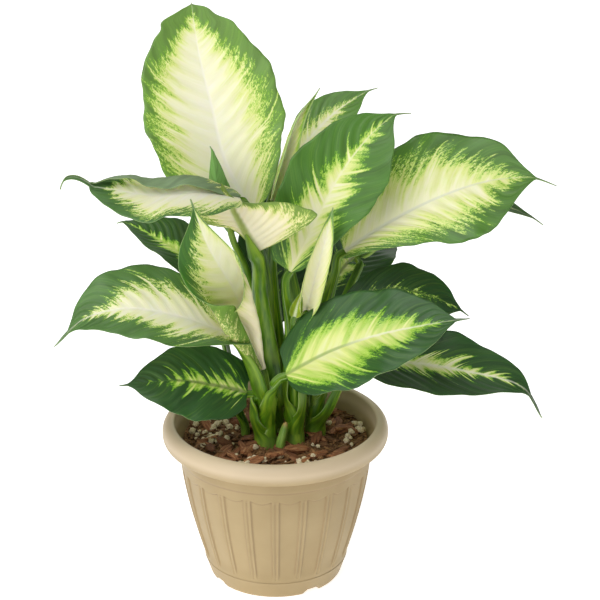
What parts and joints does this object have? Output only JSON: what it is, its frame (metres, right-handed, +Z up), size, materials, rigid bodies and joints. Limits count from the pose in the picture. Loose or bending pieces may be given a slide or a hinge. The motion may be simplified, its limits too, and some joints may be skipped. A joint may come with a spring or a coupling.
{
  "type": "potted dieffenbachia",
  "caption": "Leafy house plant with large variegated blades on sheathed stems, rooted in potting mix in a ribbed plastic nursery pot with a rolled lip.",
  "frame": {"origin": "on the floor under the middle of the plant's outline seen from above; the pot's axis stands at x -20.8 mm, y -10.1 mm", "axes": "+Z up along the pot's axis, -Y towards the viewer of the picture, +X to the viewer's right"},
  "size_m": [0.3468, 0.185, 0.4193],
  "materials": {
    "pot_plastic": "satin beige plastic",
    "potting_mix": "dark bark mix with white perlite",
    "leaf_pale": "waxy cream blade with a green margin",
    "leaf_feathered": "waxy green blade with a feathered cream middle",
    "leaf_dark": "waxy dark green blade with pale flecks",
    "stem": "smooth green stem",
    "sprout": "smooth pale green shoot"
  },
  "bodies": {
    "root": {"pot": "pot_plastic", "potting_mix": "potting_mix", "leaf_01_top": "leaf_pale", "leaf_02_left_upper": "leaf_pale", "leaf_03_reverse": "leaf_pale", "leaf_04_left_back": "leaf_feathered", "leaf_05_unrolling": "leaf_pale", "leaf_06_left": "leaf_feathered", "leaf_07_lower_left": "leaf_dark", "leaf_08_tip": "leaf_dark", "leaf_09_centre": "leaf_feathered", "leaf_10_right": "leaf_pale", "leaf_11_back_upper": "leaf_feathered", "leaf_12_rolled": "leaf_pale", "leaf_13_folded": "leaf_pale", "leaf_14_front_right": "leaf_feathered", "leaf_15_right_middle": "leaf_dark", "leaf_16_back_right": "leaf_dark", "leaf_17_right_lower": "leaf_dark", "leaf_18_back_right_upper": "leaf_feathered", "leaf_19_spear": "leaf_pale", "leaf_20_back_middle": "leaf_dark", "shoot_a_front_left": "stem", "shoot_b_back_left": "stem", "shoot_c_middle": "stem", "shoot_d_right": "stem", "shoot_e_thin": "stem", "sprout": "sprout"}
  },
  "joints": []
}
